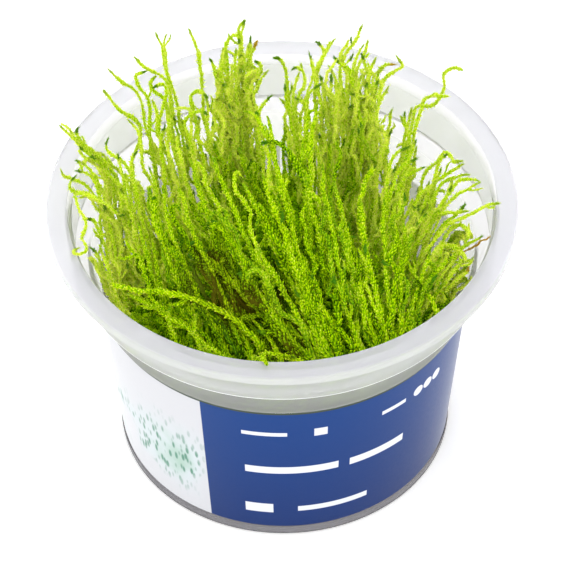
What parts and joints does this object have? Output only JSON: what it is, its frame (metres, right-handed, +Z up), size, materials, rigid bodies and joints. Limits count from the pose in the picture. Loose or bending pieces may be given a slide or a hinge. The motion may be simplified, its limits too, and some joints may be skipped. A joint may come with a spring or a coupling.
{
  "type": "potted tissue culture moss",
  "caption": "Upright flame-shaped moss tufts growing out of a round, flanged, milky plastic cup with a printed film around its body.",
  "frame": {"origin": "centre of the cup's flat base", "axes": "+Z up out of the cup's mouth, -Y towards the side that the label's blue field faces, +X to the right seen from there"},
  "size_m": [0.1, 0.1, 0.095],
  "materials": {
    "cup_plastic": "milky translucent, satin",
    "label_film": "printed film, blue beside a white panel",
    "mat_green": "dense dark moss base",
    "moss_green": "fuzzy yellow-green moss strands"
  },
  "bodies": {
    "root": {"cup": "cup_plastic", "label": "label_film", "moss_mat": "mat_green", "moss_tuft_left": "moss_green", "moss_tuft_back_left": "moss_green", "moss_tuft_back": "moss_green", "moss_tuft_back_right": "moss_green", "moss_tuft_right": "moss_green", "moss_tuft_front_right": "moss_green", "moss_tuft_front": "moss_green", "moss_tuft_front_left": "moss_green", "moss_tuft_centre": "moss_green"}
  },
  "joints": []
}
